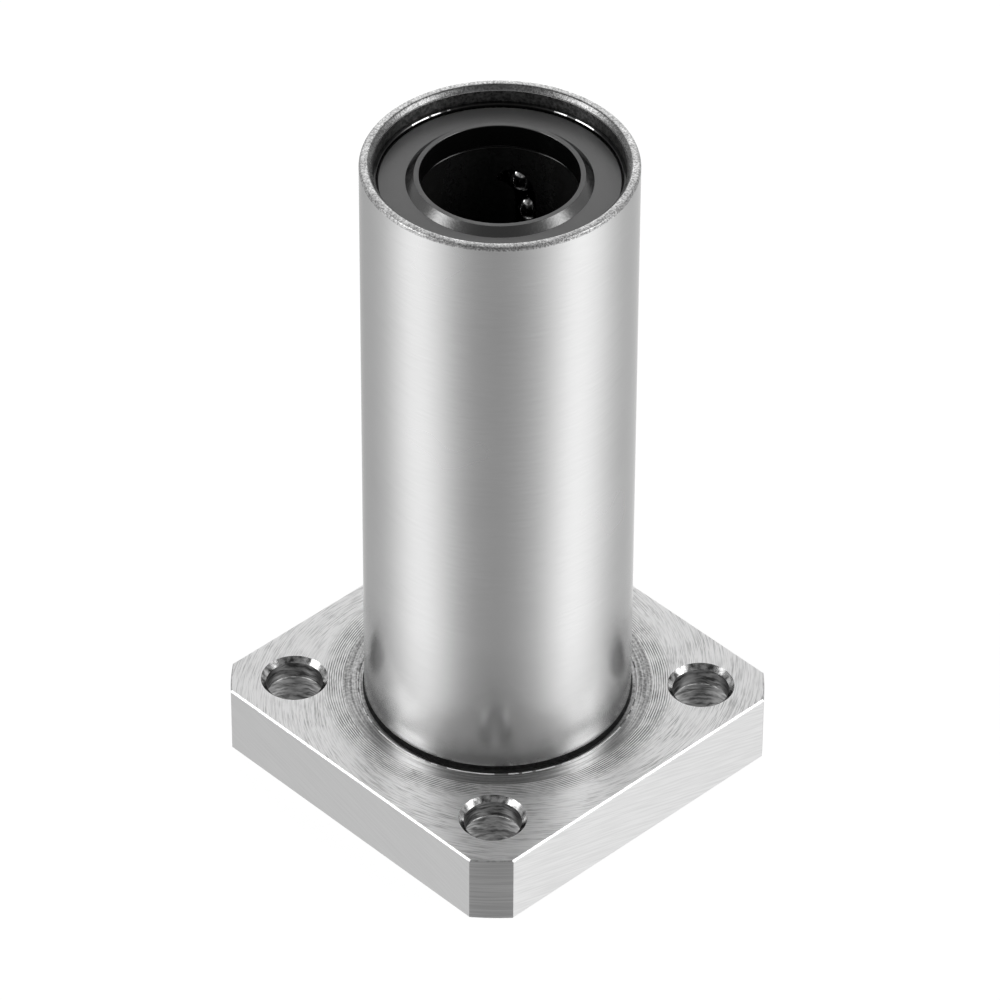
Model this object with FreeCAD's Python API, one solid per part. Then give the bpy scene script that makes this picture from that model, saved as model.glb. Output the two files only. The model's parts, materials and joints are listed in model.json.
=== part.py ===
"""Square flange linear ball bearing, long type, for a 12 mm shaft.

One steel body is both the ground sleeve and the square mounting flange. Inside it stand two
moulded ball cages, end to end with a distance ring between them. Each cage holds four closed
ball circuits. A rubber seal closes each end, and a flat spring ring holds each seal in.

The origin is the centre of the flange's outer face. +Z runs up the bore to the free end.
Every size is in millimetres.
"""
import FreeCAD
import Part
import math
import os

# Shaft and balls
shaft_diameter = 12.0
ball_diameter = 2.381
ball_gap = 0.01            # free space between neighbouring balls of a circuit
raceway_clearance = 0.01   # between the loaded balls and the sleeve's raceway
groove_clearance = 0.03    # between the returning balls and the sleeve's relief grooves
circuit_count = 4
circuit_span = 28.0        # from a loaded row round to its own return row, in degrees
ball_travel = 0.9          # how far the balls can roll before one changes from a run to a turn

# Sleeve
sleeve_length = 57.0
sleeve_wall = 1.349        # at the relief grooves
seal_seat_wall = 1.0
load_track_angle = 28.0    # direction of the first loaded row, in degrees from +X
raceway_half_angle = 14.0  # half the width of a raceway's land, in degrees
raceway_lead = 0.5         # length of the slope at each end of a raceway
rim_crest = 0.12           # flat left in the middle of the end face
rim_fall = 0.1             # how far the end face falls away from there to its two edges

# Flange
flange_thickness = 6.0
flat_wall = 0.9363         # least wall between a counterbore and a flat side of the flange
corner_wall = 1.25         # least wall between a counterbore and a rounded corner
flange_edge_chamfer = 0.3
flange_corner_chamfer = 0.1
root_groove_width = 0.7    # grinding relief where the sleeve meets the flange
root_groove_depth = 0.3
root_groove_sink = 0.15    # how far the relief sinks into the flange's face
root_groove_reach = 0.12   # how far it spreads over the flange's face

# Screw holes
hole_diameter = 4.5
hole_chamfer = 0.4
counterbore_step = 1.5     # seat for the screw's head all round the hole
counterbore_floor = 1.9    # flange left between the seat and the sleeve's side
screw_gap = 1.75           # between a counterbore and the line of the sleeve's outside

# Spring rings
ring_thickness = 0.25
ring_width = 0.58
ring_seat = 0.3            # how deep the ring's groove is
ring_clearance = 0.02
ring_edge_chamfer = 0.1
ring_gap_angle = 26.0      # opening between the ring's ends, in degrees
ring_gap_direction = -45.0

# Seals
seal_depth = 1.65          # from the sleeve's end to the seal's face
seal_thickness = 1.45
seal_clearance = 0.02
lip_height = 0.55
lip_width = 0.38           # flat crest round the bore
lip_slope = 0.67           # how much wider the lip's foot is than its crest
lip_edge_chamfer = 0.12
seal_edge_chamfer = 0.42   # leaves a narrow groove inside the spring ring

# Cages and the distance ring between them
cage_bore_clearance = 0.3  # between the shaft and the cage
cage_floor = 0.39          # under the returning balls
cage_wall_clearance = 0.09
pocket_clearance = 0.05
cage_end_chamfer = 0.25
cage_end_wall = 1.7
collar_thickness = 0.8
collar_clearance = 0.05
spacer_length = 2.8
spacer_bore_clearance = 0.6

# Worked out from the sizes above
shaft_radius = shaft_diameter / 2
ball_radius = ball_diameter / 2
ball_pitch = ball_diameter + ball_gap
pocket_radius = ball_radius + pocket_clearance
cage_bore_radius = shaft_radius + cage_bore_clearance
load_radius = shaft_radius + ball_radius
raceway_radius = load_radius + ball_radius + raceway_clearance
return_radius = cage_bore_radius + cage_floor + pocket_radius
relief_radius = return_radius + ball_radius + groove_clearance
sleeve_radius = relief_radius + sleeve_wall
counterbore_radius = hole_diameter / 2 + counterbore_step
counterbore_depth = flange_thickness - counterbore_floor
bolt_circle_radius = sleeve_radius + screw_gap + counterbore_radius
flange_half = bolt_circle_radius * math.sqrt(0.5) + counterbore_radius + flat_wall
flange_corner_radius = bolt_circle_radius + counterbore_radius + corner_wall
cage_radius = raceway_radius - cage_wall_clearance
collar_radius = relief_radius - collar_clearance
seal_seat_radius = sleeve_radius - seal_seat_wall
rim_middle = (sleeve_radius + seal_seat_radius) / 2
ring_groove_radius = seal_seat_radius + ring_seat
cage_depth = seal_depth + seal_thickness
cage_length = (sleeve_length - 2 * cage_depth - spacer_length) / 2
upper_cage_centre = sleeve_length - cage_depth - cage_length / 2
middle = sleeve_length / 2
past = 1.0                 # how far a cutting tool runs out of what it cuts

# Each circuit is two straight runs and four quarter turns, which meet at two apexes.
# The ramp turns lie in the plane that touches the loaded balls' circle, so that the balls
# rise from the shaft at once, and the bend turns take them on to the return run.
circuit_step = 360.0 / circuit_count
half_circuit = circuit_span / 2
ramp_radius = load_radius * math.tan(math.radians(half_circuit))
apex_radius = load_radius / math.cos(math.radians(half_circuit))
bend_radius = math.sqrt(apex_radius ** 2 + return_radius ** 2
                        - 2 * apex_radius * return_radius * math.cos(math.radians(half_circuit)))
apex_height = cage_length / 2 - cage_end_wall - pocket_radius
load_half = apex_height - ramp_radius
return_half = apex_height - bend_radius
pocket_depth = relief_radius - load_radius + past

up = FreeCAD.Vector(0, 0, 1)
origin = FreeCAD.Vector(0, 0, 0)


def polar(radius, angle, z=0.0):
    """A point at that radius and angle, in degrees from +X."""
    a = math.radians(angle)
    return FreeCAD.Vector(radius * math.cos(a), radius * math.sin(a), z)


def ring(inner, outer, low, high):
    """A plain ring round the bearing's axis."""
    tube = Part.makeCylinder(outer, high - low, FreeCAD.Vector(0, 0, low))
    return tube.cut(Part.makeCylinder(inner, high - low, FreeCAD.Vector(0, 0, low)))


def turned(points):
    """A body turned from a closed outline of (radius, z) points."""
    outline = [FreeCAD.Vector(r, 0, z) for r, z in points]
    outline.append(outline[0])
    return Part.Face(Part.makePolygon(outline)).revolve(origin, up, 360)


def turned_over(shape):
    """The same shape at the other end of the bearing, turned over about a loaded row."""
    other = shape.copy()
    other.rotate(FreeCAD.Vector(0, 0, middle), polar(1, load_track_angle), 180)
    return other


def flange_blank():
    """The square plate with the turned blank's corners."""
    width = 2 * flange_half
    corner = FreeCAD.Vector(-flange_half, -flange_half, 0)
    square = Part.makeBox(width, width, flange_thickness, corner)
    flat_edges = [e for e in square.Edges if abs(e.tangentAt(e.FirstParameter).z) < 0.5]
    square = square.makeChamfer(flange_edge_chamfer, flat_edges)
    disc = Part.makeCylinder(flange_corner_radius, flange_thickness)
    rims = [e for e in disc.Edges if isinstance(e.Curve, Part.Circle)]
    return square.common(disc.makeChamfer(flange_corner_chamfer, rims))


def screw_hole(angle):
    """Clearance hole, chamfered on the sleeve's side and counterbored on the outer face."""
    at = polar(bolt_circle_radius, angle)
    radius = hole_diameter / 2
    hole = Part.makeCylinder(radius, flange_thickness + 2 * past, at - up * past)
    seat = Part.makeCylinder(counterbore_radius, counterbore_depth + past, at - up * past)
    mouth = Part.makeCone(radius, radius + hole_chamfer + past, hole_chamfer + past,
                          at + up * (flange_thickness - hole_chamfer))
    return hole.fuse([seat, mouth])


def root_groove():
    """The grinding relief round the sleeve's foot, cut into the sleeve and the flange's face."""
    floor = flange_thickness - root_groove_sink
    top = flange_thickness + root_groove_width
    wall = sleeve_radius - root_groove_depth
    return turned([(wall, floor), (sleeve_radius + root_groove_reach, floor),
                   (sleeve_radius + root_groove_reach, flange_thickness + root_groove_sink),
                   (sleeve_radius + past, flange_thickness + root_groove_sink),
                   (sleeve_radius + past, top), (sleeve_radius, top),
                   (wall, top - root_groove_depth)])


def half_bore():
    """Outline of what the bore's tools take out of the upper half of the sleeve."""
    end = sleeve_length
    groove_top = end - seal_depth + ring_thickness + ring_clearance
    return turned([(0, middle - past), (relief_radius, middle - past),
                   (relief_radius, end - cage_depth), (seal_seat_radius, end - cage_depth),
                   (seal_seat_radius, end - seal_depth - ring_clearance),
                   (ring_groove_radius, end - seal_depth - ring_clearance),
                   (ring_groove_radius, groove_top), (seal_seat_radius, groove_top),
                   (seal_seat_radius, end - rim_fall), (rim_middle - rim_crest / 2, end),
                   (rim_middle - rim_crest / 2, end + past), (0, end + past)])


def raceway(angle):
    """A raised land that the loaded balls of one upper circuit roll on."""
    low, high = upper_cage_centre - load_half, upper_cage_centre + load_half
    into_wall = relief_radius + sleeve_wall / 2
    outline = [(raceway_radius, low), (raceway_radius, high), (relief_radius, high + raceway_lead),
               (into_wall, high + raceway_lead), (into_wall, low - raceway_lead),
               (relief_radius, low - raceway_lead)]
    points = [FreeCAD.Vector(r, 0, z) for r, z in outline]
    face = Part.Face(Part.makePolygon(points + points[:1]))
    face.rotate(origin, up, angle - raceway_half_angle)
    return face.revolve(origin, up, 2 * raceway_half_angle)


def flanged_sleeve():
    """Sleeve and flange, turned, milled and ground from one piece of steel."""
    tube = turned([(0, 0), (sleeve_radius, 0), (sleeve_radius, sleeve_length - rim_fall),
                   (rim_middle + rim_crest / 2, sleeve_length), (0, sleeve_length)])
    body = tube.fuse(flange_blank())
    body = body.cut(root_groove())
    body = body.cut([screw_hole(45 + 90 * n) for n in range(4)])
    bore = half_bore()
    body = body.cut([bore, turned_over(bore)])
    lands = [raceway(load_track_angle + n * circuit_step) for n in range(circuit_count)]
    lands += [turned_over(land) for land in lands]
    return body.fuse(lands).removeSplitter()


def end_seal():
    """Rubber disc whose raised lip wipes the shaft."""
    face = sleeve_length - seal_depth
    foot = face - seal_thickness
    outside = seal_seat_radius - seal_clearance
    crest = shaft_radius + lip_width
    return turned([(shaft_radius, foot + lip_edge_chamfer), (shaft_radius + lip_edge_chamfer, foot),
                   (outside, foot), (outside, face - seal_edge_chamfer),
                   (outside - seal_edge_chamfer, face), (crest + lip_slope, face),
                   (crest, face + lip_height), (shaft_radius, face + lip_height)])


def retaining_ring():
    """Flat open spring ring, snapped into the sleeve over the seal's edge."""
    outer = ring_groove_radius - ring_clearance
    inner = outer - ring_width
    low = sleeve_length - seal_depth
    high = low + ring_thickness
    whole = turned([(inner, low), (outer, low), (outer, high), (inner + ring_edge_chamfer, high),
                    (inner, high - ring_edge_chamfer)])
    gap = Part.makeCylinder(outer + past, ring_thickness + 2 * past,
                            FreeCAD.Vector(0, 0, low - past), up, ring_gap_angle)
    gap.rotate(origin, up, ring_gap_direction - ring_gap_angle / 2)
    return whole.cut(gap)


class Circuit:
    """Centre line of one upper ball circuit, which starts at the given loaded row."""

    def __init__(self, number):
        angle = load_track_angle + number * circuit_step
        self.load = polar(load_radius, angle)
        self.apex = polar(apex_radius, angle + half_circuit)
        self.back = polar(return_radius, angle + 2 * half_circuit)
        self.ramp_way = (self.apex - self.load).normalize()
        self.bend_way = (self.back - self.apex).normalize()
        self.ramp_out = self.ramp_way.cross(up)
        self.bend_out = self.bend_way.cross(up)
        self.centre = up * upper_cage_centre

    def kink(self):
        """Angle between the two halves of a turn, seen along the bearing, in radians."""
        return self.ramp_way.getAngle(self.bend_way)

    def turn(self, kind, end):
        """Axis point, towards-the-run direction, outward direction and radius of a quarter turn."""
        top = self.apex + self.centre
        if kind == "ramp":
            return top + up * (end * load_half), -self.ramp_way, self.ramp_out, ramp_radius
        return top + up * (end * return_half), self.bend_way, self.bend_out, bend_radius


def turn_angles(radius, kink):
    """Angles from the apex at which the balls of a quarter turn stand, in radians."""
    first = math.asin(ball_pitch / (2 * radius * math.cos(kink / 2)))
    step = 2 * math.asin(ball_pitch / (2 * radius))
    count = 1 + int((math.pi / 2 - first - ball_travel / radius) / step)
    return [first + n * step for n in range(count)]


def row_heights(half_length, radius, kink):
    """Heights of the balls of a straight run, clear of the turns' balls over the whole travel."""
    nearest = math.pi / 2 - turn_angles(radius, kink)[-1] + ball_travel / radius
    sideways = radius * (1 - math.cos(nearest))
    along = radius * math.sin(nearest)
    room = half_length - ball_travel - math.sqrt(ball_pitch ** 2 - sideways ** 2) + along
    count = 1 + int(2 * room / ball_pitch)
    return [(n - (count - 1) / 2) * ball_pitch for n in range(count)]


def ball_groups(circuit):
    """Ball centres of one circuit, grouped by the run or quarter turn that they roll in."""
    kink = circuit.kink()
    groups = {
        "load_row": [circuit.load + circuit.centre + up * z
                     for z in row_heights(load_half, ramp_radius, kink)],
        "return_row": [circuit.back + circuit.centre + up * z
                       for z in row_heights(return_half, bend_radius, kink)],
    }
    for place, end in (("outer", 1), ("inner", -1)):
        for kind in ("ramp", "bend"):
            at, way, _, radius = circuit.turn(kind, end)
            angles = turn_angles(radius, kink)
            groups[place + "_" + kind] = [at + (way * math.sin(a) + up * (end * math.cos(a))) * radius
                                          for a in angles]
    return groups


def channel_face(centre, way, out):
    """Section of a ball channel: round below the ball's centre and open to the outside."""
    side = way * pocket_radius
    top = out * pocket_depth
    right, left = centre + side, centre - side
    bottom = Part.Arc(left, centre - out * pocket_radius, right).toShape()
    walls = Part.makePolygon([right, right + top, left + top, left])
    return Part.Face(Part.Wire([bottom] + walls.Edges))


def channel_tools(circuit):
    """The tools that together cut one circuit's channel into its cage."""
    runs = []
    for line, way, out, half in ((circuit.load, circuit.ramp_way, circuit.ramp_out, load_half),
                                 (circuit.back, circuit.bend_way, circuit.bend_out, return_half)):
        start = line + circuit.centre - up * half
        runs.append(channel_face(start, way, out).extrude(up * (2 * half)))
    for end in (1, -1):
        for kind in ("ramp", "bend"):
            at, way, out, radius = circuit.turn(kind, end)
            section = channel_face(at + way * radius, way, out)
            sense = -90 if (kind == "ramp") == (end > 0) else 90
            runs.append(section.revolve(at, out, sense))
        apex = circuit.apex + circuit.centre + up * (end * apex_height - pocket_radius)
        knee = Part.makeCylinder(pocket_depth, 2 * pocket_radius, apex, up, math.degrees(circuit.kink()))
        heading = math.degrees(math.atan2(circuit.ramp_out.y, circuit.ramp_out.x))
        knee.rotate(apex, up, heading)
        runs.append(knee)
    return runs


def ball_cage():
    """Moulded cage of the upper half, with its centring collar at the bearing's end."""
    low, high = upper_cage_centre - cage_length / 2, upper_cage_centre + cage_length / 2
    shoulder = high - collar_thickness
    mouth = cage_bore_radius + cage_end_chamfer
    cage = turned([(cage_bore_radius, low + cage_end_chamfer), (mouth, low),
                   (cage_radius - cage_end_chamfer, low), (cage_radius, low + cage_end_chamfer),
                   (cage_radius, shoulder), (collar_radius, shoulder), (collar_radius, high),
                   (mouth, high), (cage_bore_radius, high - cage_end_chamfer)])
    for number in range(circuit_count):
        for tool in channel_tools(Circuit(number)):
            cage = cage.cut(tool)
    return cage


def distance_ring():
    """Plain ring that keeps the two cages apart."""
    half = spacer_length / 2
    return ring(shaft_radius + spacer_bore_clearance, collar_radius, middle - half, middle + half)


def balls(centres):
    """One group of separate balls."""
    return Part.makeCompound([Part.makeSphere(ball_radius, at) for at in centres])


def pieces():
    """Every node's name and shape."""
    made = {"flanged_sleeve": flanged_sleeve(), "distance_ring": distance_ring()}
    ends = {"seal": end_seal(), "retaining_ring": retaining_ring(), "ball_cage": ball_cage()}
    for name, shape in ends.items():
        made["upper_" + name] = shape
        made["lower_" + name] = turned_over(shape)
    for number in range(circuit_count):
        for group, centres in ball_groups(Circuit(number)).items():
            name = "circuit_%d_%s" % (number + 1, group)
            made["upper_" + name] = balls(centres)
            made["lower_" + name] = turned_over(balls(centres))
    return made


def main():
    os.makedirs("parts", exist_ok=True)
    for name, shape in pieces().items():
        shape.exportStep("parts/%s.step" % name)


if __name__ == "__main__":
    main()
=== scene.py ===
"""Looks of the square flange linear bearing: ground, turned and blasted steel, rubber seals, moulded cages.

Lengths are in metres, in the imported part's own frame: the origin is the centre of the flange's outer face
and +Z runs up the bore to the free end.
"""
import json
import math
import random

import bmesh
import bpy
from mathutils import Matrix, Vector


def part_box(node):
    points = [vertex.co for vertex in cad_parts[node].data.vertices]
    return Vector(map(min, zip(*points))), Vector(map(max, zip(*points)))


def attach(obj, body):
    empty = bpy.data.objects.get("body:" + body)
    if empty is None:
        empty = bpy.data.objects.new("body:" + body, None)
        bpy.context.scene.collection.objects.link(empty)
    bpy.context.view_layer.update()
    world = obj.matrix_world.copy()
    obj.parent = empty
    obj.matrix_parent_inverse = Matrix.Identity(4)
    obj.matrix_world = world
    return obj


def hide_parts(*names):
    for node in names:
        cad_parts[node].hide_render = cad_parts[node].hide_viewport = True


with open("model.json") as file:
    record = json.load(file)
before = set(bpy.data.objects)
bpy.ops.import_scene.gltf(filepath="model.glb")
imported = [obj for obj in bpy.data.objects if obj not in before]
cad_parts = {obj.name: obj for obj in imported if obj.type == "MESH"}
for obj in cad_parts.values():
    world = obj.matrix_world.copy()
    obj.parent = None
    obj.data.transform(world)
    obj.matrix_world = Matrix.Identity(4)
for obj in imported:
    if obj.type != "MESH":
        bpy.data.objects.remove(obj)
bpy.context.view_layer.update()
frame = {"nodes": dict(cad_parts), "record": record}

MM = 0.001
BODY = "housing"

# Sizes that the frame gives
mounts = {m["name"]: m for m in frame["record"]["mounts"]}
shaft_radius = mounts["shaft_bore"]["dims"]["r_mm"] * MM
sleeve_radius = mounts["housing_pilot"]["dims"]["r_mm"] * MM
bolt_radius = mounts["flange_holes"]["dims"]["pcd_mm"] / 2 * MM
hole_radius = mounts["flange_holes"]["dims"]["hole_r_mm"] * MM
flange_top = mounts["flange_face"]["pos_m"][2]
sleeve_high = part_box("flanged_sleeve")[1]
flange_half = sleeve_high.x
sleeve_top = sleeve_high.z
ring_low, ring_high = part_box("upper_retaining_ring")
seal_low, seal_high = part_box("upper_seal")
cage_low, cage_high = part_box("upper_ball_cage")

# Sleeve: its worn end face, and the raceway lands in its bore
rim_fall = 0.05 * MM
rim_round = 0.27 * MM
rim_chamfer = 0.36 * MM
rim_wall = 0.9 * MM          # how far down the end face's outline starts and ends
rim_band = 0.35 * MM         # how far down its finish reaches
rim_tilt = 0.1               # the least share of Z in its faces' direction
foot_painted_shade = 0.78             # painted shade: darker tone of the outside near the flange, standing in for its reflection of the flange; it fades between two heights
foot_shade_fade = (flange_top + 2.0 * MM, flange_top + 13.0 * MM)
seat_radius = 9.5 * MM
ring_groove_radius = 9.8 * MM
ring_play = 0.02 * MM
relief_radius = 9.151 * MM
raceway_radius = 8.391 * MM
raceway_half = 7.2667 * MM
raceway_lead = 0.5 * MM
raceway_centre = (cage_low.z + cage_high.z) / 2
land_count = 4
land_angle = 28.0
land_half_angle = 14.0

# Grinding relief where the sleeve meets the flange, the step beside it, and the step's burr
root_width = 0.4 * MM
root_depth = 0.3 * MM
root_sink = 0.15 * MM
root_reach = 0.12 * MM
root_step = 0.3 * MM
root_step_sink = 0.06 * MM
burr_radius = sleeve_radius + root_reach + root_step
burr_height = 0.04 * MM
burr_width = 0.13 * MM
burr_waves = ((11, 0), (29, 1), (47, 2))   # waves to the turn and their phases, which break the burr's painted highlight into dashes
burr_break = -0.5
smooth_ring = 1.15 * MM

# Flange, with the feed marks of its turned face
corner_radius = 21.0 * MM
corner_chamfer = 0.1 * MM
edge_chamfer = 0.13 * MM
turning_pitch = 0.185 * MM
turning_depth = 0.005 * MM
coarse_band = (12.2 * MM, 13.7 * MM)
coarse_depth = (1.0, 1.6)    # shares of the turning depth and pitch, in the coarse band and beside it
coarse_pitch = 1.15
fine_depth = (0.2, 0.7)
fine_pitch = (0.8, 1.1)
coarse_fade = 0.5 * MM       # either side of the band's outer edge
stroke_slant = 2.4 * MM      # how far out a stroke runs for each radian of the turn
mottle_turn = (0.7, 1.5)     # radians from the side opposite the seam, where the mottling sets in
seam_angle = math.radians(136.0)

# Screw holes
counterbore_radius = 3.75 * MM
counterbore_depth = 4.1 * MM
counterbore_rag = 0.1 * MM
hole_chamfer = 0.4 * MM
hole_brink = 0.04 * MM       # how far down the hole's own finishes start

# Spring rings
ring_width = 0.58 * MM
ring_bevel = 0.06 * MM
ring_opening = (-58.0, -32.0)
# Stretches of the inner bevel, in degrees round the axis, painted bright as glints
ring_glint_stretches = ((87.0, 99.0), (103.5, 110.5), (159.5, 162.0), (165.0, 170.0), (172.5, 182.0))
turning_axis = math.radians(28.0)

# Seals
seal_radius = seal_high.x
lip_width = 0.38 * MM
lip_slope = 0.67 * MM
lip_height = 0.55 * MM
lip_crest = shaft_radius + lip_width
seal_face = seal_high.z - lip_height
seal_foot_chamfer = 0.12 * MM
seal_edge_chamfer = 0.42 * MM
seal_round = 0.05 * MM
lip_wander = 0.05 * MM
lip_mean = 0.5               # the crest's mean share of the wander
lip_waves = ((0.3, 1, -80), (0.2, 3, 40))   # share of the wander, waves to the turn, phase in degrees

# Balls
ball_radius = 2.381 / 2 * MM

# How finely the pieces are divided, how far tools reach, and how places and tilts are told apart
sleeve_segments = 256
hole_segments = 96
ring_segments = 200
seal_segments = 192
ball_divisions = 4
arc_steps = 4
arc_room = 0.45              # share of a side that a corner's arc may take
nearly_straight = math.radians(87.0)   # half a corner's angle, over which it gets no arc
past = 1.0 * MM              # how far a cutting tool runs out of what it cuts
tool_gap = 0.1 * MM          # between the tools of neighbouring flat sides
slack = 0.01 * MM
same_point = 1e-6
upright, level = 0.3, 0.9    # shares of Z in a face's direction: less is a wall, more is flat

# Camera, found from the photograph's proportions
view_azimuth = math.radians(46.1)
view_elevation = math.radians(39.54)
view_roll = math.radians(0.273)
view_distance = 554.3 * MM
view_lens = 258.89
view_sensor = 36.0
view_near, view_far = 0.01, 20.0
view_target = (0.123 * MM, 24.5 * MM)

# Light tent: levels round it, as degrees to the right of the camera's side, low down and high up
low_wall = (
    (-180, 2.0), (-168, 0.95), (-156, 0.48), (-142, 0.42), (-124, 0.44), (-105, 0.53), (-90, 0.76),
    (-76, 1.02), (-62, 1.04), (-48, 0.80), (-34, 0.50), (-20, 0.34), (0, 0.3), (16, 0.36), (32, 0.53),
    (48, 0.86), (60, 1.1), (70, 1.1), (84, 0.95), (100, 0.68), (116, 0.52), (135, 0.5), (156, 0.62),
    (168, 1.0), (180, 2.0))
high_wall_half = (
    (0, 0.22), (30, 0.26), (52, 0.42), (68, 0.66), (90, 0.6), (104, 0.4), (120, 0.36), (138, 0.45),
    (150, 0.68), (165, 0.99), (180, 1.06))
low_to_high = (-0.05, 0.2)   # heights of a direction over which one level gives way to the next
high_to_zenith = (0.62, 0.95)
zenith_level = 0.13

# Soft boxes of the tent, one on each side: where they stand, how far they reach and how bright they are
box_azimuth = math.radians(80.0)
box_half_turn = math.radians(23.0)
box_rise = 0.62
box_half_rise = 0.2
box_level = 2.9

# Floor
floor_size = 6.0
floor_drop = 0.02 * MM
floor_glow = 0.92
floor_shade = 0.2
floor_paper = 0.8


def object_of(mesh, name):
    """Turns a bmesh into an object of the scene, with its faces outward."""
    bmesh.ops.recalc_face_normals(mesh, faces=mesh.faces)
    data = bpy.data.meshes.new(name)
    mesh.to_mesh(data)
    mesh.free()
    made = bpy.data.objects.new(name, data)
    bpy.context.scene.collection.objects.link(made)
    return made


def walls_between(mesh, here, after):
    """Faces from one closed section's points to the next one's."""
    count = len(here)
    for i in range(count):
        j = (i + 1) % count
        mesh.faces.new((here[i], after[i], after[j], here[j]))


def turned(name, outline, segments, radius_at):
    """A closed body turned from an outline of (radius, z) points, listed round the section.

    radius_at(angle, radius) gives the radius that an outline's point has at that angle, in degrees.
    """
    mesh = bmesh.new()
    sections = []
    for step in range(segments):
        angle = 360.0 * step / segments
        c, s = math.cos(math.radians(angle)), math.sin(math.radians(angle))
        places = [(radius_at(angle, radius), z) for radius, z in outline]
        sections.append([mesh.verts.new((r * c, r * s, z)) for r, z in places])
    for step in range(segments):
        walls_between(mesh, sections[step], sections[(step + 1) % segments])
    return object_of(mesh, name)


def rounded(outline, radius):
    """The same closed outline with each corner turned into an arc, no larger than its sides allow."""
    points = [Vector(p) for p in outline]
    made = []
    for i, corner in enumerate(points):
        before, after = points[i - 1], points[(i + 1) % len(points)]
        u, v = (before - corner).normalized(), (after - corner).normalized()
        half = math.acos(max(-1.0, min(1.0, u.dot(v)))) / 2
        if half > nearly_straight:
            made.append(tuple(corner))
            continue
        room = arc_room * min((before - corner).length, (after - corner).length)
        setback = min(radius / math.tan(half), room)
        arc_radius = setback * math.tan(half)
        centre = corner + (u + v).normalized() * (arc_radius / math.sin(half))
        start, end = corner + u * setback - centre, corner + v * setback - centre
        turn = start.angle_signed(end)
        for k in range(arc_steps + 1):
            spoke = start.copy()
            spoke.rotate(Matrix.Rotation(-turn * k / arc_steps, 2))
            made.append(tuple(centre + spoke))
    return made


def cut_away(target, tool):
    """Takes the tool's closed shapes out of the target, then deletes the tool."""
    modifier = target.modifiers.new("cut", "BOOLEAN")
    modifier.operation = "DIFFERENCE"
    modifier.solver = "EXACT"
    modifier.object = tool
    shape = target.evaluated_get(bpy.context.evaluated_depsgraph_get())
    data = bpy.data.meshes.new_from_object(shape)
    target.modifiers.clear()
    target.data = data
    bpy.data.objects.remove(tool)


def smooth_between(mesh_data, angle):
    """Shades the mesh smooth, apart from edges sharper than the angle, in degrees."""
    mesh_data.shade_smooth()
    mesh_data.set_sharp_from_angle(angle=math.radians(angle))


def flange_face_outline():
    """The flange's turned face from the rounded corner in to the root relief, with its feed marks."""
    random.seed(12)
    points = [(corner_radius - corner_chamfer, flange_top)]
    inner = burr_radius + burr_width + smooth_ring
    radius = corner_radius - corner_chamfer - turning_pitch
    while radius > inner:
        coarse = coarse_band[0] < radius < coarse_band[1]
        depth = turning_depth * random.uniform(*(coarse_depth if coarse else fine_depth))
        points.append((radius, flange_top))
        points.append((radius - turning_pitch / 2, flange_top - depth))
        radius -= turning_pitch * (coarse_pitch if coarse else random.uniform(*fine_pitch))
    points.append((inner, flange_top - turning_depth))
    root_edge = sleeve_radius + root_reach
    points += [(burr_radius + burr_width, flange_top - turning_depth),
               (burr_radius + burr_width / 2, flange_top + burr_height),
               (burr_radius, flange_top), (burr_radius, flange_top - root_step_sink),
               (root_edge, flange_top - root_step_sink), (root_edge, flange_top - root_sink)]
    return points


def bore_outline():
    """Half of the bore's outline, from the spring ring's groove down to the end of the raceway."""
    groove_high, groove_low = ring_high.z + ring_play, ring_low.z - ring_play
    raceway_high, raceway_low = raceway_centre + raceway_half, raceway_centre - raceway_half
    return [(seat_radius, groove_high), (ring_groove_radius, groove_high),
            (ring_groove_radius, groove_low), (seat_radius, groove_low),
            (seat_radius, seal_low.z), (relief_radius, seal_low.z),
            (relief_radius, raceway_high + raceway_lead), (raceway_radius, raceway_high),
            (raceway_radius, raceway_low), (relief_radius, raceway_low - raceway_lead)]


def rim_outline():
    """The blasted end face, from the sleeve's outside in to the seal's seat, with worn edges."""
    corners = [(sleeve_radius, sleeve_top - rim_wall), (sleeve_radius, sleeve_top - rim_fall),
               (seat_radius + rim_chamfer, sleeve_top), (seat_radius, sleeve_top - rim_chamfer),
               (seat_radius, sleeve_top - rim_wall)]
    first_arc = arc_steps + 1
    return rounded(corners, rim_round)[first_arc:-first_arc]


def add_flat_tool(mesh, direction):
    """Adds the tool that mills one of the flange's flat sides, with the chamfers along its edges."""
    slope = past + edge_chamfer
    outline = [(flange_half - slope, flange_top + past), (flange_half, flange_top - edge_chamfer),
               (flange_half, edge_chamfer), (flange_half - slope, -past),
               (corner_radius + past, -past), (corner_radius + past, flange_top + past)]
    half_length = flange_half - slope - tool_gap
    out = Vector((math.cos(direction), math.sin(direction), 0))
    side = Vector((-out.y, out.x, 0))
    ends = []
    for end in (-half_length, half_length):
        ends.append([mesh.verts.new(out * d + side * end + Vector((0, 0, z))) for d, z in outline])
    for i in range(len(outline)):
        j = (i + 1) % len(outline)
        mesh.faces.new((ends[0][i], ends[0][j], ends[1][j], ends[1][i]))
    mesh.faces.new(ends[0])
    mesh.faces.new(ends[1])


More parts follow.
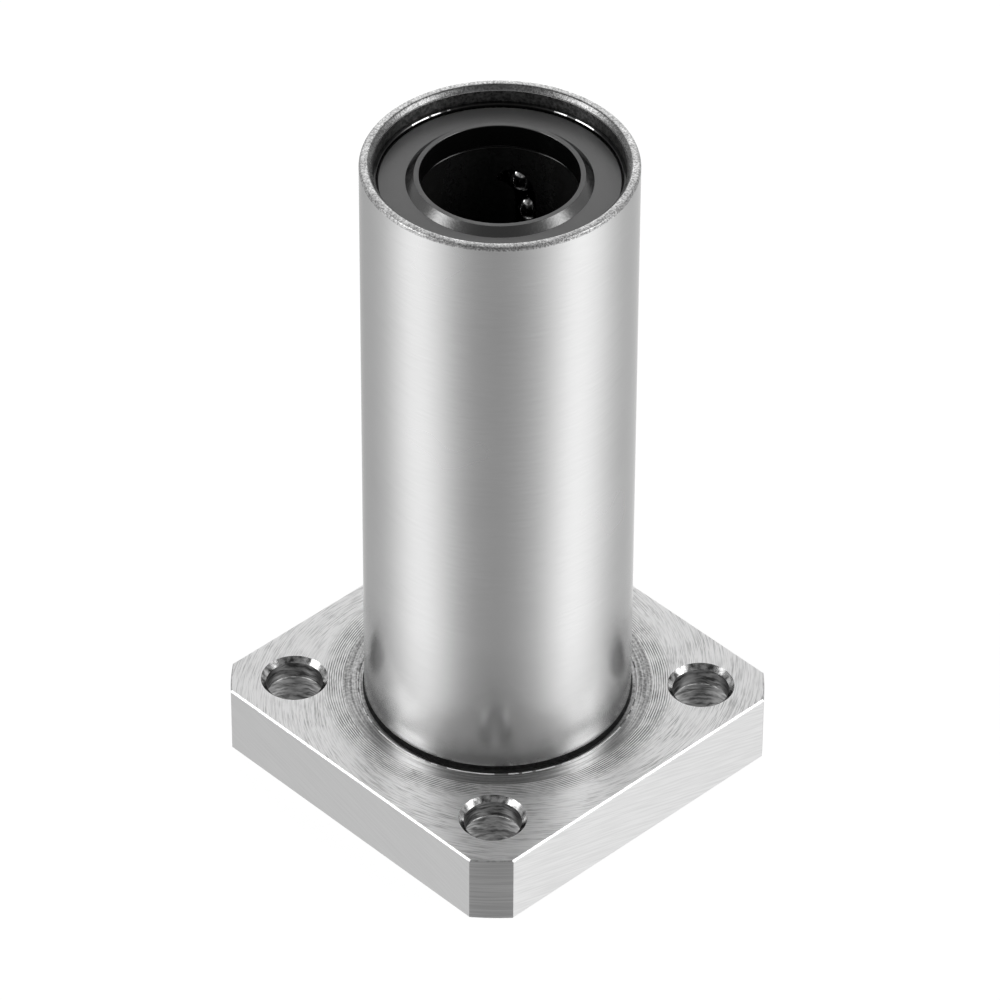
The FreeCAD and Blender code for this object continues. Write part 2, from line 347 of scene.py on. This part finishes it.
def add_hole_tool(mesh, direction):
    """Adds the tool that drills one screw hole, counterbores it and chamfers its mouth."""
    outline = [(counterbore_radius, -past), (counterbore_radius, counterbore_depth),
               (hole_radius, counterbore_depth), (hole_radius, counterbore_depth + counterbore_rag),
               (hole_radius, flange_top - hole_chamfer),
               (hole_radius + hole_chamfer + past, flange_top + past)]
    at = bolt_radius * Vector((math.cos(direction), math.sin(direction), 0))
    low = mesh.verts.new((at.x, at.y, -past))
    high = mesh.verts.new((at.x, at.y, flange_top + past))
    rings = []
    for radius, z in outline:
        rings.append([mesh.verts.new((at.x + radius * math.cos(2 * math.pi * k / hole_segments),
                                      at.y + radius * math.sin(2 * math.pi * k / hole_segments), z))
                      for k in range(hole_segments)])
    for k in range(hole_segments):
        n = (k + 1) % hole_segments
        mesh.faces.new((low, rings[0][n], rings[0][k]))
        mesh.faces.new((high, rings[-1][k], rings[-1][n]))
        for a, b in zip(rings, rings[1:]):
            mesh.faces.new((a[k], a[n], b[n], b[k]))


def land_or_relief(angle, radius):
    """A raceway's own radius on its lands, and the relief's radius between them."""
    if radius != raceway_radius:
        return radius
    spacing = 360 / land_count
    nearest = (angle - land_angle + spacing / 2) % spacing - spacing / 2
    return radius if abs(nearest) <= land_half_angle else relief_radius


def sleeve_and_flange():
    """The one-piece steel body, turned as a whole and then milled and drilled."""
    upper_bore = bore_outline()
    lower_bore = [(r, sleeve_top - z) for r, z in reversed(upper_bore)]
    lower_bore += [(seat_radius, rim_chamfer), (seat_radius + rim_chamfer, 0)]
    wall = sleeve_radius - root_depth
    outside = [(corner_radius - corner_chamfer, 0), (corner_radius, corner_chamfer),
               (corner_radius, flange_top - corner_chamfer)]
    root = [(wall, flange_top - root_sink), (wall, flange_top + root_width - root_depth),
            (sleeve_radius, flange_top + root_width)]
    outline = upper_bore + lower_bore + outside + flange_face_outline() + root + rim_outline()
    body = turned("sleeve_and_flange", outline, sleeve_segments, land_or_relief)
    tools = bmesh.new()
    for quarter in range(4):
        angle = math.radians(90 * quarter)
        add_flat_tool(tools, angle)
        add_hole_tool(tools, angle + math.pi / 4)
    cut_away(body, object_of(tools, "tools"))
    smooth_between(body.data, angle=18)
    return body


def turn_over(made):
    """Turns a piece of the upper end over, to its place at the lower end."""
    middle = Matrix.Translation((0, 0, sleeve_top / 2))
    axis = Vector((math.cos(turning_axis), math.sin(turning_axis), 0))
    made.data.transform(middle @ Matrix.Rotation(math.pi, 4, axis) @ middle.inverted())


def spring_ring(name):
    """The open spring ring over the upper seal, with its inner edge bevelled."""
    outer = ring_high.x
    inner = outer - ring_width
    outline = [(inner, ring_low.z), (outer, ring_low.z), (outer, ring_high.z),
               (inner + ring_bevel, ring_high.z), (inner, ring_high.z - ring_bevel)]
    start, end = ring_opening[1], ring_opening[0] + 360
    mesh = bmesh.new()
    sections = []
    for step in range(ring_segments + 1):
        angle = math.radians(start + (end - start) * step / ring_segments)
        c, s = math.cos(angle), math.sin(angle)
        sections.append([mesh.verts.new((r * c, r * s, z)) for r, z in outline])
    for here, after in zip(sections, sections[1:]):
        walls_between(mesh, here, after)
    mesh.faces.new(sections[0])
    mesh.faces.new(sections[-1])
    made = object_of(mesh, name)
    smooth_between(made.data, angle=30)
    return made


def wandering(angle, radius):
    """The trimmed lip isn't quite round: its crest wanders a little, always away from the shaft."""
    if radius >= lip_crest + lip_slope:
        return radius
    share = max(0.0, min(1.0, (lip_crest + lip_slope - radius) / lip_slope))
    wave = lip_mean
    for size, count, phase in lip_waves:
        wave += size * math.sin(math.radians(count * angle + phase))
    return radius + lip_wander * share * wave


def seal(name, turned_over):
    """A moulded rubber seal: a flat disc with a raised lip that wipes the shaft."""
    foot = seal_low.z
    outline = [(shaft_radius, foot + seal_foot_chamfer), (shaft_radius + seal_foot_chamfer, foot),
               (seal_radius, foot), (seal_radius, seal_face - seal_edge_chamfer),
               (seal_radius - seal_edge_chamfer, seal_face), (lip_crest + lip_slope, seal_face),
               (lip_crest, seal_high.z), (shaft_radius, seal_high.z)]
    outline = rounded(outline, seal_round)
    if turned_over:
        outline = [(r, sleeve_top - z) for r, z in outline]
    made = turned(name, outline, seal_segments, wandering)
    smooth_between(made.data, angle=50)
    return made


def centres_of(node):
    """The centres of the separate balls of a CAD node."""
    mesh = bmesh.new()
    mesh.from_mesh(frame["nodes"][node].data)
    bmesh.ops.remove_doubles(mesh, verts=mesh.verts, dist=same_point)
    left = set(mesh.verts)
    found = []
    while left:
        seed = left.pop()
        group, front = [seed], [seed]
        while front:
            for edge in front.pop().link_edges:
                for v in edge.verts:
                    if v in left:
                        left.discard(v)
                        group.append(v)
                        front.append(v)
        low = Vector([min(v.co[k] for v in group) for k in range(3)])
        high = Vector([max(v.co[k] for v in group) for k in range(3)])
        found.append((low + high) / 2)
    mesh.free()
    return found


def polished_balls(node):
    """Finely divided balls at the places of a CAD group of balls."""
    mesh = bmesh.new()
    for centre in centres_of(node):
        place = Matrix.Translation(centre)
        bmesh.ops.create_icosphere(mesh, subdivisions=ball_divisions, radius=ball_radius, matrix=place)
    made = object_of(mesh, node + "_polished")
    made.data.shade_smooth()
    return made


class Nodes:
    """Short forms for building a node tree."""

    def __init__(self, tree):
        self.tree = tree

    def node(self, kind, settings=None, **sockets):
        made = self.tree.nodes.new(kind)
        for key, value in (settings or {}).items():
            setattr(made, key, value)
        for key, value in sockets.items():
            self.put(made.inputs[key.replace("_", " ")], value)
        return made

    def put(self, socket, value):
        if isinstance(value, bpy.types.NodeSocket):
            self.tree.links.new(value, socket)
        else:
            socket.default_value = value

    def math(self, operation, *values):
        made = self.node("ShaderNodeMath", {"operation": operation})
        for socket, value in zip(made.inputs, values):
            self.put(socket, value)
        return made.outputs[0]

    def plus(self, one, other):
        return self.math("ADD", one, other)

    def less(self, one, other):
        return self.math("SUBTRACT", one, other)

    def times(self, one, other):
        return self.math("MULTIPLY", one, other)

    def separated(self, vector):
        parts = self.node("ShaderNodeSeparateXYZ", Vector=vector)
        return parts.outputs["X"], parts.outputs["Y"], parts.outputs["Z"]

    def joined(self, x, y, z):
        return self.node("ShaderNodeCombineXYZ", X=x, Y=y, Z=z).outputs[0]

    def streaked(self, main, one, other, share):
        """A place for a noise whose marks are short along the main value and long along the others."""
        return self.joined(main, self.times(one, share), self.times(other, share))

    def noise(self, vector, scale, detail=2.0, roughness=0.5):
        return self.node("ShaderNodeTexNoise", Vector=vector, Scale=scale, Detail=detail,
                         Roughness=roughness).outputs[0]

    def mapped(self, value, source, target):
        """Carries the value's range from source to target, and holds it at their ends."""
        made = self.node("ShaderNodeMapRange", Value=value)
        for name, number in zip(("From Min", "From Max", "To Min", "To Max"), (*source, *target)):
            self.put(made.inputs[name], number)
        return made.outputs[0]

    def spread(self, noise, low, high, half=0.2):
        """Spreads a noise from low to high. The smaller the half, the harder its contrast."""
        return self.mapped(noise, (0.5 - half, 0.5 + half), (low, high))

    def around(self, turn, stops):
        """Levels round the tent, from a turn of 0 to 1: stops are (degrees, level)."""
        made = self.node("ShaderNodeValToRGB", Fac=turn)
        line = made.color_ramp
        while len(line.elements) < len(stops):
            line.elements.new(0.5)
        for element, (degrees, shade) in zip(line.elements, stops):
            element.position = (degrees + 180) / 360
            element.color = grey(shade)
        return made.outputs[0]

    def blended(self, amount, one, other):
        """A mix of two colours. The numbers pick the node's sockets for colours."""
        made = self.node("ShaderNodeMix", {"data_type": "RGBA"}, Factor=amount)
        self.put(made.inputs[6], one)
        self.put(made.inputs[7], other)
        return made.outputs[2]


class Finish(Nodes):
    """One material, and the places on a piece that its marks follow."""

    def __init__(self, name):
        self.material = bpy.data.materials.new(name)
        self.material.use_nodes = True
        super().__init__(self.material.node_tree)
        self.shader = self.tree.nodes["Principled BSDF"]
        self.point = self.node("ShaderNodeTexCoord").outputs["Object"]

    def polar(self, x, y):
        """Distance from the bearing's axis, and the two parts of the direction from it."""
        radius = self.math("SQRT", self.plus(self.times(x, x), self.times(y, y)))
        return radius, self.math("DIVIDE", x, radius), self.math("DIVIDE", y, radius)

    def turn_from_seam(self, x, y):
        """Angle round the axis, in radians, which jumps only at the seam."""
        c, d = math.cos(seam_angle), math.sin(seam_angle)
        along = self.plus(self.times(x, -c), self.times(y, -d))
        across = self.plus(self.times(x, d), self.times(y, -c))
        return self.math("ARCTAN2", across, along)

    def done(self, relief, depth, **sockets):
        """Sets the shader's sockets and the relief's bump, and gives the material."""
        for key, value in sockets.items():
            self.put(self.shader.inputs[key.replace("_", " ")], value)
        bump = self.node("ShaderNodeBump", Height=relief, Distance=depth, Strength=1.0)
        self.put(self.shader.inputs["Normal"], bump.outputs[0])
        return self.material


def grey(value):
    return (value, value, value, 1)


def ground_steel():
    """The sleeve's outside: ground round and round, with faint rings and cloudy tone, and painted shade
    towards the flange.
    """
    s = Finish("ground_steel")
    x, y, z = s.separated(s.point)
    c, d = s.polar(x, y)[1:]
    rings = s.noise(s.streaked(z, c, d, 0.0006), scale=9000.0, detail=3.0)
    clouds = s.noise(s.point, scale=90.0, detail=3.0)
    tone = s.plus(s.spread(clouds, 0.80, 0.84), s.spread(rings, -0.015, 0.015))
    # Painted shade: the outside darkens towards the flange, standing in for its dark reflection of the
    # flange.
    tone = s.times(tone, s.mapped(z, foot_shade_fade, (foot_painted_shade, 1.0)))
    return s.done(rings, 0.0006 * MM, Base_Color=tone, Metallic=1.0, Roughness=s.spread(clouds, 0.24, 0.28))


def turned_face_steel():
    """The flange's faces: crisp lathe lines near the sleeve, and slanting strokes of the tool beyond."""
    s = Finish("turned_face_steel")
    x, y = s.separated(s.point)[:2]
    radius, c, d = s.polar(x, y)
    wobble = s.times(s.noise(s.point, scale=350.0, detail=1.0), 7.0)
    lathe = s.math("SINE", s.plus(s.times(radius, 2 * math.pi / turning_pitch), wobble))
    lathe = s.mapped(lathe, (0.1, 0.7), (0.0, 1.0))
    edge = coarse_band[1]
    inner = s.mapped(radius, (edge - coarse_fade, edge + coarse_fade), (1.0, 0.0))
    strength = s.times(inner, s.mapped(s.noise(s.point, scale=700.0), (0.35, 0.6), (0.5, 1.0)))
    spiral = s.less(radius, s.times(s.turn_from_seam(x, y), stroke_slant))
    strokes = s.noise(s.streaked(spiral, c, d, 0.0008), scale=10500.0, roughness=0.7)
    patches = s.spread(s.noise(s.point, scale=420.0), 0.4, 1.0, half=0.15)
    strokes = s.times(s.mapped(strokes, (0.45, 0.66), (0.0, 1.0)), patches)
    lines = s.math("MAXIMUM", s.times(strokes, 0.56), s.times(lathe, strength))
    tone = s.mapped(lines, (0.0, 1.0), (1.0, 0.14))
    return s.done(lines, 0.008 * MM, Base_Color=tone, Metallic=0.8, Roughness=0.42)


def smooth_face_steel():
    """The ring of the flange's face next to the sleeve: nearly smooth, but mottled on the seam's side."""
    s = Finish("smooth_face_steel")
    x, y = s.separated(s.point)[:2]
    radius, c, d = s.polar(x, y)
    lines = s.noise(s.streaked(radius, c, d, 0.0003), scale=8000.0)
    near_seam = s.mapped(s.math("ABSOLUTE", s.turn_from_seam(x, y)), mottle_turn, (0.0, 1.0))
    spots = s.spread(s.noise(s.point, scale=4200.0, detail=3.0), 0.0, 1.0, half=0.1)
    spots = s.times(spots, s.math("MAXIMUM", near_seam, 0.2))
    tone = s.less(s.spread(lines, 0.36, 0.64, half=0.12), s.times(spots, 0.2))
    return s.done(spots, 0.006 * MM, Base_Color=tone, Metallic=1.0, Roughness=0.28)


def root_shade_steel():
    """The dark floor of the grinding relief: its unground scale, darkened further as painted shade in the
    recess.
    """
    s = Finish("root_shade_steel")
    dust = s.noise(s.point, scale=2500.0, detail=3.0)
    return s.done(dust, 0.01 * MM, Base_Color=s.spread(dust, 0.04, 0.09), Metallic=0.6, Roughness=0.5)


def turned_edge_steel():
    """The rounded corners: straight lathe lines one above the other."""
    s = Finish("turned_edge_steel")
    x, y, z = s.separated(s.point)
    lines = s.noise(s.joined(s.times(x, 0.02), s.times(y, 0.02), z), scale=9000.0, detail=1.0)
    tone = s.spread(lines, 0.62, 0.76, half=0.15)
    return s.done(lines, 0.004 * MM, Base_Color=tone, Metallic=1.0, Roughness=0.33)


def milled_steel(name, shade, contrast):
    """A pair of the flat sides: fine slanting lines, with a tone per pair that is painted light and shade.
    """
    s = Finish(name)
    x, y, z = s.separated(s.point)
    run = s.plus(x, y)
    slanting = s.plus(z, s.times(run, 0.3))
    lines = s.noise(s.joined(s.times(run, 0.04), slanting, 0.0), scale=5500.0)
    tone = s.times(s.spread(lines, 1 - contrast, 1 + contrast, half=0.12), shade)
    return s.done(lines, 0.0022 * MM, Base_Color=tone, Metallic=1.0, Roughness=0.36)


def bright_edge_steel(name, low, high, rough, metal=1.0):
    """Chamfers that the tool left bright, or less so, and the burr's painted highlight."""
    s = Finish(name)
    marks = s.noise(s.point, scale=2200.0, detail=3.0)
    tone = s.mapped(marks, (0.35, 0.6), (low, high))
    return s.done(marks, 0.006 * MM, Base_Color=tone, Metallic=metal, Roughness=rough)


def blasted_steel(name, shade):
    """The sandy end face of the sleeve."""
    s = Finish(name)
    grains = s.noise(s.point, scale=6500.0, detail=3.0, roughness=0.7)
    patches = s.noise(s.point, scale=900.0)
    tone = s.times(s.mapped(grains, (0.36, 0.62), (0.36, 1.0)), shade)
    tone = s.times(tone, s.spread(patches, 0.72, 1.0))
    return s.done(grains, 0.012 * MM, Base_Color=tone, Metallic=1.0, Roughness=0.26)


def hardened_bore_steel():
    """The dark inside of the sleeve, still a little sandy from the blasting."""
    s = Finish("hardened_bore_steel")
    grains = s.noise(s.point, scale=3500.0, detail=3.0, roughness=0.7)
    tone = s.mapped(grains, (0.4, 0.65), (0.09, 0.3))
    return s.done(grains, 0.012 * MM, Base_Color=tone, Metallic=1.0, Roughness=0.4)


def drilled_steel(name, low, high):
    """Walls of the screw holes, torn by the drill in wavering rings."""
    s = Finish(name)
    x, y, z = s.separated(s.point)
    height = s.plus(z, s.times(s.noise(s.point, scale=700.0, detail=3.0), 0.0009))
    rings = s.noise(s.streaked(height, x, y, 0.2), scale=4200.0, detail=3.0)
    tone = s.spread(rings, low, high, half=0.15)
    return s.done(rings, 0.02 * MM, Base_Color=tone, Metallic=1.0, Roughness=0.32)


def seal_rubber(name, shade, rough, gloss):
    """Moulded black rubber, with a fine grain."""
    s = Finish(name)
    grain = s.noise(s.point, scale=5000.0, detail=3.0)
    clouds = s.noise(s.point, scale=500.0)
    tone = s.times(s.spread(clouds, 0.92, 1.08), shade)
    roughness = s.spread(grain, rough - 0.03, rough + 0.03)
    return s.done(grain, 0.004 * MM, Base_Color=tone, Roughness=roughness, IOR=gloss)


def cage_plastic():
    """The cages' oiled black moulding."""
    s = Finish("cage_plastic")
    grain = s.noise(s.point, scale=2500.0)
    return s.done(grain, 0.002 * MM, Base_Color=s.spread(grain, 0.015, 0.025), Roughness=0.16)


def ball_steel():
    """Polished balls under a broken film of dark grease."""
    s = Finish("ball_steel")
    film = s.noise(s.point, scale=2600.0)
    tone = s.mapped(film, (0.45, 0.6), (0.15, 0.95))
    return s.done(film, 0.008 * MM, Base_Color=tone, Metallic=1.0, Roughness=0.05)


def spring_steel(name, low, high):
    """Rolled and oiled spring steel of the retaining rings and the distance ring; a lighter copy paints the
    rings' glints.
    """
    s = Finish(name)
    x, y = s.separated(s.point)[:2]
    radius, c, d = s.polar(x, y)
    lines = s.noise(s.streaked(radius, c, d, 0.001), scale=7000.0)
    return s.done(lines, 0.001 * MM, Base_Color=s.spread(lines, low, high), Metallic=1.0, Roughness=0.14)


def finish_of(face):
    """Names the finish of one face of the steel body, from its place and its tilt."""
    at, tilt = face.center, abs(face.normal.z)
    radius = math.hypot(at.x, at.y)
    bolt_side = bolt_radius * math.sqrt(0.5)
    from_hole = math.hypot(abs(at.x) - bolt_side, abs(at.y) - bolt_side)
    above_foot = at.z > slack
    in_hole = from_hole < counterbore_radius + slack and at.z < flange_top - hole_brink
    if at.z > sleeve_top - rim_band and radius > seat_radius + slack and tilt > rim_tilt:
        return "rim" if radius > seat_radius + rim_chamfer else "rim_inside"
    if radius < seat_radius + slack:
        return "bore"
    root_low, root_high = flange_top - root_sink - slack, flange_top + root_width
    if radius < sleeve_radius + root_reach + slack and root_low < at.z < root_high:
        return "root"
    if at.z > flange_top + burr_height:
        return "ground"
    if above_foot and radius < burr_radius:
        return "smooth"
    if above_foot and in_hole:
        if upright < tilt < level or counterbore_depth < at.z < counterbore_depth + counterbore_rag:
            return "mouth"
        return "drilled" if at.z > counterbore_depth else "counterbored"
    if above_foot and radius < burr_radius + burr_width:
        # The burr's painted highlight: near-white, partly matt steel, broken into dashes.
        turn = math.atan2(at.y, at.x)
        whole = sum(math.sin(count * turn + phase) for count, phase in burr_waves)
        return "burr" if whole > burr_break else "smooth"
    if above_foot and radius < burr_radius + burr_width + smooth_ring:
        return "smooth"
    if tilt > level:
        return "turned"
    if tilt > upright:
        return "edge"
    if max(abs(at.x), abs(at.y)) > flange_half - slack:
        return "flat_x" if abs(at.x) > abs(at.y) else "flat_y"
    return "corner"


def paint_sleeve(body):
    """Gives each stretch of the steel body the finish of the tool that made it."""
    finishes = {
        "ground": ground_steel(), "turned": turned_face_steel(), "corner": turned_edge_steel(),
        # The two pairs of flats get a lighter and a darker tone by which way they face: painted light and
        # shade.
        "flat_x": milled_steel("milled_steel_x", 0.88, 0.05),
        "flat_y": milled_steel("milled_steel_y", 0.70, 0.025),
        "edge": bright_edge_steel("bright_edge_steel", 0.6, 0.95, 0.3),
        # the burr is a real ridge; its near-white, half-matt finish is a painted highlight
        "burr": bright_edge_steel("burr_highlight_steel", 0.9, 1.0, 0.5, metal=0.4),
        "mouth": bright_edge_steel("hole_mouth_steel", 0.1, 0.75, 0.2),
        "rim": blasted_steel("blasted_steel", 1.0),
        "rim_inside": blasted_steel("shaded_blasted_steel", 0.5),
        "bore": hardened_bore_steel(),
        "drilled": drilled_steel("drilled_steel", 0.06, 0.38),
        "counterbored": drilled_steel("counterbored_steel", 0.12, 0.5),
        "smooth": smooth_face_steel(), "root": root_shade_steel(),
    }
    order = {kind: index for index, kind in enumerate(finishes)}
    for material in finishes.values():
        body.data.materials.append(material)
    for face in body.data.polygons:
        face.material_index = order[finish_of(face)]


def paint_seal(made, turned_over):
    """Matt disc, glossier cone, a lighter crest where the lip was trimmed, and a dark bore."""
    disc, cone, crest, bore = range(4)
    for material in (seal_rubber("seal_disc_rubber", 0.07, 0.36, 2.0),
                     seal_rubber("seal_lip_rubber", 0.004, 0.15, 2.7),
                     seal_rubber("seal_crest_rubber", 0.15, 0.45, 1.5),
                     seal_rubber("seal_bore_rubber", 0.004, 0.3, 1.35)):
        made.data.materials.append(material)
    for face in made.data.polygons:
        radius = math.hypot(face.center.x, face.center.y)
        height = sleeve_top - face.center.z if turned_over else face.center.z
        outward = -face.normal.z if turned_over else face.normal.z
        kind = disc
        if radius < lip_crest + lip_slope and height > seal_face - 2 * slack and outward > upright:
            kind = crest if outward > level and radius < lip_crest + lip_wander else cone
        elif radius < lip_crest:
            kind = bore
        face.material_index = kind


def paint_ring(made, spring, glint_steel):
    """Oiled steel, with painted glints: some stretches of the inner edge's bevel are painted bright."""
    made.data.materials.append(spring)
    made.data.materials.append(glint_steel)
    for face in made.data.polygons:
        turn = math.degrees(math.atan2(face.center.y, face.center.x)) % 360
        on_bevel = upright < face.normal.z < level
        if on_bevel and any(start < turn < end for start, end in ring_glint_stretches):
            face.material_index = 1


def repaint(node, material):
    """Gives a CAD node that stays its finish."""
    o = frame["nodes"][node]
    o.data.materials.clear()
    o.data.materials.append(material)


def make_pieces():
    """The bearing's pieces: each rides on its body, and most replace the solid that they stand for."""
    body = sleeve_and_flange()
    paint_sleeve(body)
    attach(body, BODY)
    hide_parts("flanged_sleeve")
    for end, turned_over in (("upper", False), ("lower", True)):
        made = seal(end + "_lip_seal", turned_over)
        paint_seal(made, turned_over)
        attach(made, BODY)
        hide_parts(end + "_seal")
    plastic, polished = cage_plastic(), ball_steel()
    # The second ring finish is a painted glint: light steel for some stretches of the bevel.
    spring, glint_steel = spring_steel("spring_steel", 0.04, 0.07), spring_steel("glint_spring_steel", 0.3, 0.9)
    repaint("distance_ring", spring)
    for end in ("upper", "lower"):
        made = spring_ring(end + "_spring_ring")
        paint_ring(made, spring, glint_steel)
        if end == "lower":
            turn_over(made)
        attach(made, BODY)
        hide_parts(end + "_retaining_ring")
        repaint(end + "_ball_cage", plastic)
    for node in sorted(frame["nodes"]):
        if "_circuit_" in node:
            made = polished_balls(node)
            made.data.materials.append(polished)
            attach(made, node)
            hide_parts(node)


def make_floor():
    """A plain pale floor. It is white to the camera, and the metal sees the studio's walls through it."""
    bpy.ops.mesh.primitive_plane_add(size=floor_size, location=(0, 0, -floor_drop))
    floor = bpy.context.object
    floor.name = "floor"
    material = bpy.data.materials.new("pale_floor")
    material.use_nodes = True
    s = Nodes(material.node_tree)
    white = s.node("ShaderNodeEmission", Color=grey(floor_glow), Strength=1.0)
    shaded = s.node("ShaderNodeBsdfDiffuse", Color=grey(floor_shade))
    paper = s.node("ShaderNodeBsdfDiffuse", Color=grey(floor_paper))
    seen = s.node("ShaderNodeAddShader")
    s.put(seen.inputs[0], white.outputs[0])
    s.put(seen.inputs[1], shaded.outputs[0])
    mixed = s.node("ShaderNodeMixShader", Fac=s.node("ShaderNodeLightPath").outputs["Is Camera Ray"])
    s.put(mixed.inputs[1], paper.outputs[0])
    s.put(mixed.inputs[2], seen.outputs[0])
    s.put(s.tree.nodes["Material Output"].inputs["Surface"], mixed.outputs[0])
    floor.data.materials.append(material)
    floor.visible_glossy = False


def make_studio():
    """A light tent: dark before the object, bright at its sides, with a stronger soft box on each side."""
    world = bpy.data.worlds.new("studio")
    bpy.context.scene.world = world
    world.use_nodes = True
    s = Nodes(world.node_tree)
    x, y, z = s.separated(s.node("ShaderNodeTexCoord").outputs["Generated"])
    front = Vector((math.sin(view_azimuth), -math.cos(view_azimuth)))
    ahead = s.plus(s.times(x, front.x), s.times(y, front.y))
    right = s.plus(s.times(x, -front.y), s.times(y, front.x))
    angle = s.math("ARCTAN2", right, ahead)
    turn = s.mapped(angle, (-math.pi, math.pi), (0.0, 1.0))
    other_half = [(-degrees, shade) for degrees, shade in reversed(high_wall_half) if degrees]
    low, high = s.around(turn, low_wall), s.around(turn, other_half + list(high_wall_half))
    tent = s.blended(s.mapped(z, low_to_high, (0.0, 1.0)), low, high)
    tent = s.blended(s.mapped(z, high_to_zenith, (0.0, 1.0)), tent, grey(zenith_level))
    off_side = s.math("ABSOLUTE", s.less(s.math("ABSOLUTE", angle), box_azimuth))
    off_height = s.math("ABSOLUTE", s.less(z, box_rise))
    box = s.times(s.mapped(off_side, (box_half_turn, box_half_turn / 2), (0.0, box_level)),
                  s.mapped(off_height, (box_half_rise, box_half_rise / 2), (0.0, 1.0)))
    lit = s.node("ShaderNodeVectorMath", {"operation": "ADD"})
    s.put(lit.inputs[0], tent)
    s.put(lit.inputs[1], box)
    seen = s.node("ShaderNodeLightPath").outputs["Is Camera Ray"]
    background = s.tree.nodes["Background"]
    s.put(background.inputs["Color"], s.blended(seen, lit.outputs[0], grey(1.0)))
    background.inputs["Strength"].default_value = 1.0


def make_camera():
    """The photograph's view: a long lens that looks down at one corner of the flange."""
    sa, ca = math.sin(view_azimuth), math.cos(view_azimuth)
    se, ce = math.sin(view_elevation), math.cos(view_elevation)
    back = Vector((sa * ce, -ca * ce, se))
    right = Vector((ca, sa, 0))
    up = back.cross(right)
    sr, cr = math.sin(view_roll), math.cos(view_roll)
    across = cr * right + sr * up
    upward = -sr * right + cr * up
    camera = bpy.data.objects.new("camera", bpy.data.cameras.new("camera"))
    bpy.context.scene.collection.objects.link(camera)
    at = Vector((0, 0, view_target[1])) + right * view_target[0] + back * view_distance
    turn = Matrix((across, upward, back)).transposed().to_4x4()
    camera.matrix_world = Matrix.Translation(at) @ turn
    camera.data.sensor_width = view_sensor
    camera.data.lens = view_lens
    camera.data.clip_start = view_near
    camera.data.clip_end = view_far
    bpy.context.scene.camera = camera


bpy.context.scene.view_settings.view_transform = "Standard"
make_camera()
make_pieces()
make_floor()
make_studio()
